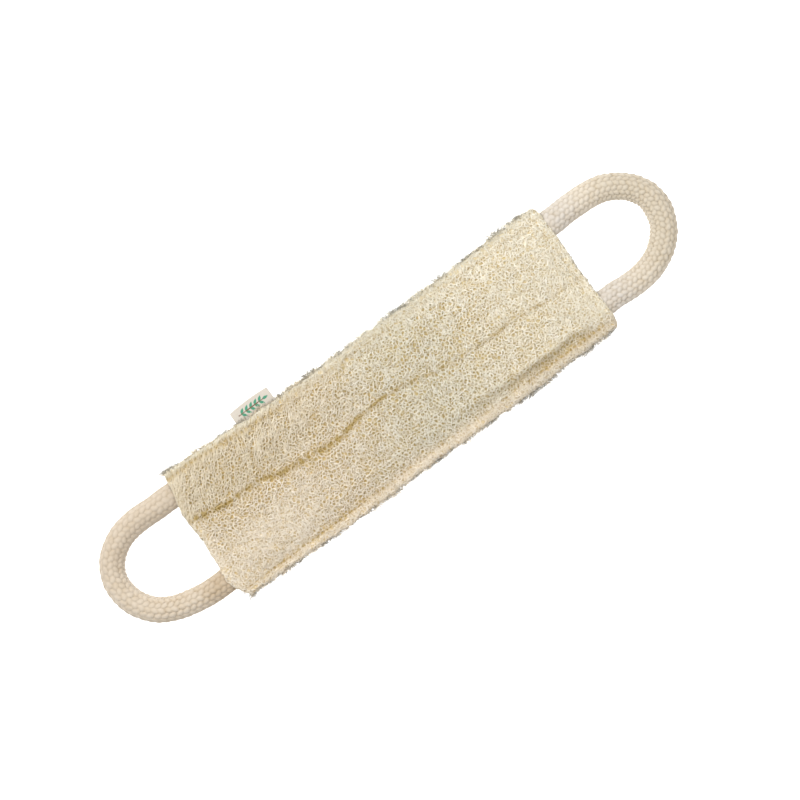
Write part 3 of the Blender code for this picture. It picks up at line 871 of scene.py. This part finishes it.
def make_felt(face, layer, material, seed):
    """Short curling fibres over the net. The felt fills most of its cells, combed one way near the
    upper left, and the fine felt smooths the places named above. Both leave the crease and the
    needle holes bare."""
    count, tone = FELTS[layer]
    rng = np.random.default_rng(seed)
    x = rng.uniform(-HALF_LENGTH - 3 * MM, HALF_LENGTH + 3 * MM, count)
    y = rng.uniform(FRONT_EDGE[0] - 3 * MM, BACK_EDGE[1] + 3 * MM, count)
    patches = 0.42 * smooth_noise(x, y, 11 * MM, seed) + 0.25 * smooth_noise(x, y, 34 * MM, seed + 5)
    if layer == "felt":
        below = y - table_at(x, CREASE)
        pitted = bump_mm(below, -7, 6) * (0.5 + 0.5 * ease_mm(-x, 0, 40))
        bare = np.clip(0.31 + patches + 0.40 * pitted, 0, 0.9)
    else:
        bare = 1 - smoothness_at(x, y, face) * (0.95 + 0.35 * patches)
    keep = rng.random(count) > bare + 0.85 * ochre_and_shade_at(x, y, face)
    x, y = x[keep], y[keep]
    count = len(x)
    combed = ease_mm(-x, 25, 70) * ease_mm(y, 8, 24)
    follows = rng.random(count) < 0.85 * combed
    heading = np.where(follows, rng.normal(0.9, 0.2, count), rng.uniform(0, np.pi, count))
    length = rng.uniform(3.0, 6.5, count) * MM * (1 + 0.9 * follows)
    place = np.linspace(-0.5, 0.5, 4)
    bend = (rng.normal(0, 1.0, count) * (1 - 0.7 * follows))[:, None]
    turn = heading[:, None] + bend * place * 2
    plan = np.stack([
        x[:, None] + length[:, None] * place * np.cos(turn),
        y[:, None] + length[:, None] * place * np.sin(turn),
    ], -1)
    rings, attributes = lay_strands(plan, face, FELT_LIFT, FELT_RADIUS, SHORT_SAMPLES, tone, rng)
    add_fibres(f"loofah_{face}_{layer}", rings, attributes, material)


def tufted(along, rng):
    """Places along an edge, most of them drawn together into tufts."""
    spacing = 3.1 * MM
    centre = (np.round(along / spacing) + 0.3 * np.sin(np.round(along / spacing) * 2.7)) * spacing
    return centre + (along - centre) * np.where(rng.random(along.shape) < 0.7, 0.35, 1.0)


FRAY_COUNT = 4800
FRAY_ON_ENDS = 0.2
FRAY_LENGTH = (1.3, 3.8)
FRAY_RADIUS = (0.17, 0.32)


def make_frayed_edge(face, material, seed):
    """Short loose fibres that stick out all round a mat's cut edge."""
    rng = np.random.default_rng(seed)
    count = FRAY_COUNT
    on_end = rng.random(count) < FRAY_ON_ENDS
    way = rng.choice([-1.0, 1.0], count)
    along_x, along_y = rng.uniform(-0.98, 0.98, (2, count)) * np.array([[HALF_LENGTH], [FRONT_EDGE[1]]])
    along_x, along_y = tufted(along_x, rng), tufted(along_y, rng)
    x = np.where(on_end, way * HALF_LENGTH, along_x)
    low, high = lower_edge(x, face), upper_edge(x, face)
    y = np.where(on_end, along_y, np.where(way > 0, high, low))
    x = np.where(on_end, way * end_line(x, y), np.clip(x, -end_line(x, y), end_line(x, y)))
    outward = np.stack([np.where(on_end, way, 0), np.where(on_end, 0, way), np.zeros(count)], -1)
    along = np.stack([outward[:, 1], -outward[:, 0], np.zeros(count)], -1)
    up = np.array([0, 0, FACES[face]])
    lean, rise = rng.normal(0, 0.55, (count, 1)), rng.normal(0.1, 0.35, (count, 1))
    curl, lift = rng.normal(0, 1.0, (count, 1)), rng.normal(-0.2, 0.5, (count, 1))
    length = rng.uniform(*FRAY_LENGTH, (count, 1)) * MM * np.where(on_end, 0.5, 1.0)[:, None]
    ragged = 1 + 0.5 * smooth_noise(x, y, 5 * MM, 53) + 0.4 * smooth_noise(x, y, 2.2 * MM, 54)
    length = length * np.clip(ragged, 0.4, 1.45)[:, None]
    start_height = rng.uniform(0.12, 0.95, count) * mat_height(x, y, face)
    start = np.stack([x, y, MID_Z + FACES[face] * start_height], -1) - outward * 0.8 * MM
    along_it = np.linspace(0, 1, SHORT_SAMPLES)
    place = along_it[None, :, None]
    heading = outward + lean * along + rise * up
    swerve = curl * along + lift * up
    bowed = heading[:, None] * place + 0.5 * swerve[:, None] * place**2
    line = start[:, None] + length[:, :, None] * bowed
    line[..., 2] = np.maximum(line[..., 2], LOWEST + 0.3 * MM)
    normal = np.broadcast_to(np.array([0.05, 0.02, 1.0]), line.shape)
    radius = rng.uniform(*FRAY_RADIUS, (count, 1)) * MM * (1 - 0.6 * along_it)
    rings = tube_rings(line, normal, radius, STRAND_SIDES)
    tones = np.broadcast_to(rng.normal(0.5, 0.15, (count, 1)), (count, SHORT_SAMPLES))
    clump = smooth_noise(x, y, 7 * MM, 51) + 0.6 * smooth_noise(x, y, 2.5 * MM, 52)
    runs = 0.45 * ease_mm(x, 0, 90)
    dark = rng.random(count) < 0.25 + 0.6 * ease_between(clump + runs, -0.2, 0.6)
    grey = dark[:, None] * along_it
    attributes = [("tone", tones), ("ochre_and_shade", 0 * tones), ("side", 0 * tones), ("grey", grey)]
    add_fibres(f"loofah_{face}_frayed_edge", rings, attributes, material)


# ---------------------------------------------------------------- the rope handles


# Stitches round each rope, and how far apart they are along it.
STITCHES = {"left": (14, 5.2 * MM), "right": (16, 4.6 * MM)}
STITCH_HEIGHT = 1.9 * MM
ROPE_STEP = 0.5 * MM
ROPE_SIDES = 144
ROPE_SLIM = {"left": 0.94, "right": 1.0}
# How deep the valleys between stitches are: on the lower leg, and where the rope is worn flatter.
FRESH_DEPTH = 1.12
WORN_DEPTH = {"left": 0.72, "right": 1.0}


def rope_path(end):
    """The rope's centre line from one sewn-in end round to the other, evenly spaced, and its length."""
    side = SIDES[end]
    loop = [(side * x, y) for x, y in LOOPS[end]]
    tail = np.linspace(TAIL_END_X, HANDLE_BEND_X - 6 * MM, 6)
    first = [(side * x, loop[0][1]) for x in tail]
    last = [(side * x, loop[-1][1]) for x in tail[::-1]]
    knots = np.array(first + loop + last)
    line = curve_weights(len(knots), 40 * len(knots)) @ knots
    travel = np.concatenate([[0], np.cumsum(np.hypot(*np.diff(line, axis=0).T))])
    even = np.linspace(0, travel[-1], int(travel[-1] / ROPE_STEP) + 1)
    return np.stack([np.interp(even, travel, line[:, 0]), np.interp(even, travel, line[:, 1])], -1), even


def stitch_surface(s, turn, columns, pitch):
    """The braid's relief at places along and round the rope: its height from 0 to 1, the place
    across a stitch's strands, and a number for each stitch."""
    width = 2 * np.pi / columns
    best = np.full(s.shape, -9.0)
    strand, shade = np.zeros(s.shape), np.zeros(s.shape)
    column = np.floor(turn / width)
    for dj in (-1, 0, 1):
        j = column + dj
        odd = np.mod(j, 2)
        across = (turn - (j + 0.5) * width) / width
        slant = 0.35 * (2 * odd - 1)
        first = np.floor(s / pitch - 0.5 * odd)
        for di in (-1, 0, 1):
            i = first + di
            number = np.mod(np.sin(i * 12.9 + np.mod(j, columns) * 78.2) * 43758.5, 1)
            along = s / pitch - 0.5 * odd - i - 0.5 + 0.14 * (number - 0.5)
            skew = across - slant * along
            reach = np.where(along > 0, 0.60, 0.95)
            level = 1 - (np.abs(along) / reach) ** 2 - (np.abs(skew) / 0.78) ** 2 + 0.14 * (number - 0.5)
            better = level > best
            best = np.where(better, level, best)
            strand = np.where(better, skew * 4 + along, strand)
            shade = np.where(better, number, shade)
    return np.clip((best - 0.14) / 0.86, 0, 1.2) ** 0.7, strand, shade


def rope_chart(rings):
    """Places on the texture map for the rope's faces: its length is laid out in four strips."""
    strips, room = 4, 0.97
    per_strip = math.ceil((rings - 1) / strips)
    ring = np.arange(rings - 1)
    u = (ring % per_strip)[:, None, None] + np.array([0, 0, 1, 1])
    v = np.arange(ROPE_SIDES)[None, :, None] + np.array([0, 1, 1, 0])
    u = np.broadcast_to(u / per_strip * room, (rings - 1, ROPE_SIDES, 4))
    v = (ring // per_strip)[:, None, None] / strips + v / ROPE_SIDES / strips * room
    return np.stack([u, v], -1)


def make_rope(end, material):
    centre, s = rope_path(end)
    ahead = np.gradient(centre, axis=0)
    ahead /= np.linalg.norm(ahead, axis=1, keepdims=True)
    across = np.stack([-ahead[:, 1], ahead[:, 0]], -1)
    turn = 2 * np.pi * np.arange(ROPE_SIDES) / ROPE_SIDES
    s_grid, turn_grid = np.meshgrid(s, turn, indexing="ij")
    relief, strand, shade = stitch_surface(s_grid, turn_grid, *STITCHES[end])
    leg_blend = ease_mm(centre[:, 1], -28, -12)
    depth = FRESH_DEPTH + (WORN_DEPTH[end] - FRESH_DEPTH) * leg_blend
    relief = 1 - (1 - relief) * depth[:, None]
    out = np.abs(centre[:, 0])
    wide = 1.22 - 0.22 * ease_between(out, HALF_LENGTH - 20 * MM, HALF_LENGTH - 2 * MM)
    tall = 0.50 + 0.50 * ease_between(out, HALF_LENGTH - 8 * MM, HALF_LENGTH + 14 * MM)
    lump = 0.45 * MM * smooth_noise(s_grid, turn_grid * 8 * MM, 12 * MM, 31)
    radius = ROPE_SLIM[end] * (ROPE_RADIUS - STITCH_HEIGHT * 0.85 + STITCH_HEIGHT * relief + lump)
    side_off = radius * np.cos(turn_grid) * wide[:, None]
    up_off = radius * np.sin(turn_grid) * tall[:, None]
    points = np.stack([
        centre[:, 0, None] + across[:, 0, None] * side_off,
        centre[:, 1, None] + across[:, 1, None] * side_off,
        np.maximum(MID_Z + up_off, LOWEST),
    ], -1)
    rings = len(s)
    index = np.arange(rings * ROPE_SIDES).reshape(rings, ROPE_SIDES)
    beside = np.roll(index, -1, axis=1)
    walls = np.stack([index[:-1], beside[:-1], beside[1:], index[1:]], -1).reshape(-1, 4)
    caps = np.stack([index[0, ::-1], index[-1]])
    # The height attribute also paints shade into the valleys between stitches.
    attributes = [("height", relief), ("strand", strand), ("shade", shade)]
    charts = [rope_chart(rings), np.full((2, ROPE_SIDES, 2), 0.999)]
    rope = make_mesh(f"rope_handle_{end}", points.reshape(-1, 3), [walls, caps], attributes, charts)
    rope.data.materials.append(material)
    bend_over(rope)
    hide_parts(f"rope_loop_{end}", f"rope_tail_{end}_upper", f"rope_tail_{end}_lower")


# ---------------------------------------------------------------- seams and label


THREAD_RADIUS = 0.26 * MM


def stitched_line(name, plan, face, rise, material):
    """A row of lockstitch along a line on a mat: the thread dives at each needle hole, and between
    them it rises this far over the base."""
    step = np.hypot(*np.diff(plan, axis=0).T)
    travel = np.concatenate([[0], np.cumsum(step)])
    s = np.arange(0, travel[-1], STITCH_LENGTH / 7)
    x, y = np.interp(s, travel, plan[:, 0]), np.interp(s, travel, plan[:, 1])
    hump = np.abs(np.sin(np.pi * s / STITCH_LENGTH)) ** 0.6
    points, normal = on_mat(x, y, face, -1.2 * MM + (1.2 * MM + rise) * hump)
    rings = tube_rings(points[None], normal[None], np.full((1, len(s)), THREAD_RADIUS), 6)
    piece = tubes(name, rings, [("tone", np.zeros((1, len(s))))])
    piece.data.materials.append(material)
    return piece


def make_seams(face, material):
    for half, side in SIDES.items():
        for rail, y in (("upper", SEAM_Y), ("lower", -SEAM_Y)):
            x = np.linspace(0, side * SEAM_X, 200)
            wander = 0.25 * MM * noise_along(x, 12, 41)
            plan = np.stack([x, (upper_seam(x) if rail == "upper" else y) + wander], -1)
            rise = 0.1 * MM if rail == "lower" or face == "back" else -0.3 * MM
            seam = stitched_line(f"seam_thread_{face}_{rail}_{half}_stitches", plan, face, rise, material)
            pad_bend(seam)
            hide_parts(f"seam_thread_{face}_{rail}_centre", f"seam_thread_{face}_{rail}_{half}")
        y = np.linspace(-SEAM_Y + 1 * MM, SEAM_Y - 1 * MM, 120)
        plan = np.stack([side * SEAM_X + 0.25 * MM * noise_along(y, 12, 42), y], -1)
        seam = stitched_line(f"seam_thread_{face}_end_{half}_stitches", plan, face, -0.2 * MM, material)
        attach(seam, f"pad_{half}")
        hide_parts(f"seam_thread_{face}_end_{half}")


def leaf(u, v, base_u, base_v, angle, length, width):
    """1 inside a pointed leaf that grows from a place at an angle, and 0 outside it."""
    along = (u - base_u) * np.cos(angle) + (v - base_v) * np.sin(angle)
    across = -(u - base_u) * np.sin(angle) + (v - base_v) * np.cos(angle)
    share = np.clip(along / length, 0, 1)
    edge = width * np.sin(np.pi * share**0.8)
    return ((along > 0) & (along < length) & (np.abs(across) < edge)).astype(float)


def make_label(material):
    """A tape folded in half and sewn in by its two ends, with a printed sprig of leaves."""
    low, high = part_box("label")
    centre_x, width = (low.x + high.x) / 2, high.x - low.x
    depth = high.y - low.y
    gap = 0.45 * MM
    thickness = 0.35 * MM
    columns, rows = 140, 150
    u = np.repeat(np.linspace(-0.5, 0.5, columns + 1), rows + 1) * width
    travel = np.tile(np.linspace(-1, 1, rows + 1), columns + 1)
    arch = 0.9 * MM * (1 - (2 * u / width) ** 2)
    out = (1 - np.abs(travel) ** 1.15) * (depth + arch)
    y = low.y + out
    swell = gap * np.tanh(6 * travel) * (1 + 0.8 * np.sin(np.pi * np.clip(out / depth, 0, 1)))
    free = ease_between(y, FRONT_EDGE[1] - 2 * MM, high.y)
    droop = -1.2 * MM * free**1.5 + 0.5 * MM * free * np.sin(u / width * 5)
    z = MID_Z + 0.7 * MM - swell * (0.25 + 0.75 * free) + droop
    v = y - (FRONT_EDGE[1] + 1.5 * MM)
    upper_side = travel < 0
    leaves = np.zeros_like(u)
    middle = 5.6 * MM
    for step in range(5):
        base = -10 * MM + step * 4.1 * MM
        for way in (1, -1):
            leaves = np.maximum(leaves, leaf(u, v, base, middle, way * 0.8, 5.0 * MM, 1.1 * MM))
    leaves = np.maximum(leaves, leaf(u, v, 9.6 * MM, middle, 0, 5.2 * MM, 1.1 * MM))
    stem = ((np.abs(v - middle) < 0.35 * MM) & (np.abs(u + 1 * MM) < 11.5 * MM)).astype(float)
    index = np.arange(len(u)).reshape(columns + 1, rows + 1)
    quads = np.stack([index[:-1, :-1], index[1:, :-1], index[1:, 1:], index[:-1, 1:]], -1).reshape(-1, 4)
    inks = [("green_ink", leaves * upper_side), ("brown_ink", stem * upper_side)]
    tape = make_mesh("label_tape", np.stack([centre_x + u, y, z], -1), [quads], inks)
    shell = tape.modifiers.new("thickness", "SOLIDIFY")
    shell.thickness = thickness
    shell.offset = 0
    graph = bpy.context.evaluated_depsgraph_get()
    thick = tape.evaluated_get(graph)
    solid = bpy.data.meshes.new_from_object(thick, preserve_all_data_layers=True, depsgraph=graph)
    tape.modifiers.clear()
    tape.data = solid
    tape.data.materials.clear()
    tape.data.materials.append(material)
    pad_bend(tape)
    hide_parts("label")


# ---------------------------------------------------------------- stage


# Each light's place, its size and its power.
LIGHTS = {
    "key": ((-0.25, 0.80, 1.00), 0.75, 14),
    "fill": ((0.7, -0.6, 1.2), 1.4, 6.0),
}
VIEW_WIDTH = 0.608
VIEW_DISTANCE = 1.30
VIEW_CENTRE = (8.0 * MM, -1.4 * MM)
VIEW_TURN = -36.3
SENSOR_WIDTH = 36


def make_stage():
    """A plain white floor and surroundings, soft light, most of it from beyond the +Y edge, and a
    camera straight above."""
    corners = np.array([(-1, -1, 0), (1, -1, 0), (1, 1, 0), (-1, 1, 0)]) * FLOOR_HALF + (0, 0, FLOOR_Z)
    floor = make_mesh("floor", corners, [np.array([[0, 1, 2, 3]])])
    shader = Shader("floor_paper", 0.9)
    where = shader.place()
    shader.colour(shader.mix(shader.noise(where, 0.01), linear(250, 250, 250), linear(253, 253, 253)))
    shader.surface.inputs["Emission Color"].default_value = (1, 1, 1, 1)
    shader.surface.inputs["Emission Strength"].default_value = FLOOR_GLOW
    floor.data.materials.append(shader.material)

    world = bpy.data.worlds.new("soft_white")
    world.use_nodes = True
    world.node_tree.nodes["Background"].inputs["Color"].default_value = (1, 1, 1, 1)
    # The surroundings light the scrubber less than they show, so that no horizon is seen.
    rays = world.node_tree.nodes.new("ShaderNodeLightPath")
    strength = world.node_tree.nodes.new("ShaderNodeMapRange")
    strength.inputs["To Min"].default_value = WORLD_LIGHT
    strength.inputs["To Max"].default_value = WORLD_SEEN
    background = world.node_tree.nodes["Background"].inputs["Strength"]
    world.node_tree.links.new(rays.outputs["Is Camera Ray"], strength.inputs["Value"])
    world.node_tree.links.new(strength.outputs["Result"], background)
    bpy.context.scene.world = world

    target = Vector((0, 0, MID_Z))
    for name, (place, size, power) in LIGHTS.items():
        light = bpy.data.lights.new(name, "AREA")
        light.size = size
        light.energy = power
        lamp = bpy.data.objects.new(name, light)
        lamp.location = place
        lamp.rotation_euler = (target - lamp.location).to_track_quat("-Z", "Y").to_euler()
        bpy.context.scene.collection.objects.link(lamp)

    camera = bpy.data.cameras.new("camera")
    camera.sensor_width = SENSOR_WIDTH
    camera.lens = SENSOR_WIDTH * VIEW_DISTANCE / VIEW_WIDTH
    camera.clip_end = 20
    viewer = bpy.data.objects.new("camera", camera)
    viewer.location = (*VIEW_CENTRE, MID_Z + VIEW_DISTANCE)
    viewer.rotation_euler = (0, 0, math.radians(VIEW_TURN))
    bpy.context.scene.collection.objects.link(viewer)
    bpy.context.scene.camera = viewer
    bpy.context.scene.view_settings.view_transform = "Standard"
    bpy.context.scene.view_settings.exposure = 0.0


# ---------------------------------------------------------------- the object


def make_object():
    base, rope, thread = base_material(), rope_material(), thread_material()
    top = fibre_material("loofah_fibre", TOP_STOPS)
    deep = fibre_material("loofah_deep_fibre", DEEP_SHADED_STOPS)
    for face in FACES:
        for half in SIDES:
            make_base(face, half, base)
        seed = 100 if face == "front" else 200
        make_net(face, "deep_fibres", deep, seed)
        make_net(face, "fibres", top, seed + 1)
        make_felt(face, "felt", top, seed + 2)
        make_felt(face, "fine_felt", top, seed + 4)
        make_frayed_edge(face, top, seed + 3)
        make_seams(face, thread)
    for end in SIDES:
        make_rope(end, rope)
    make_label(label_material())


make_stage()
make_object()
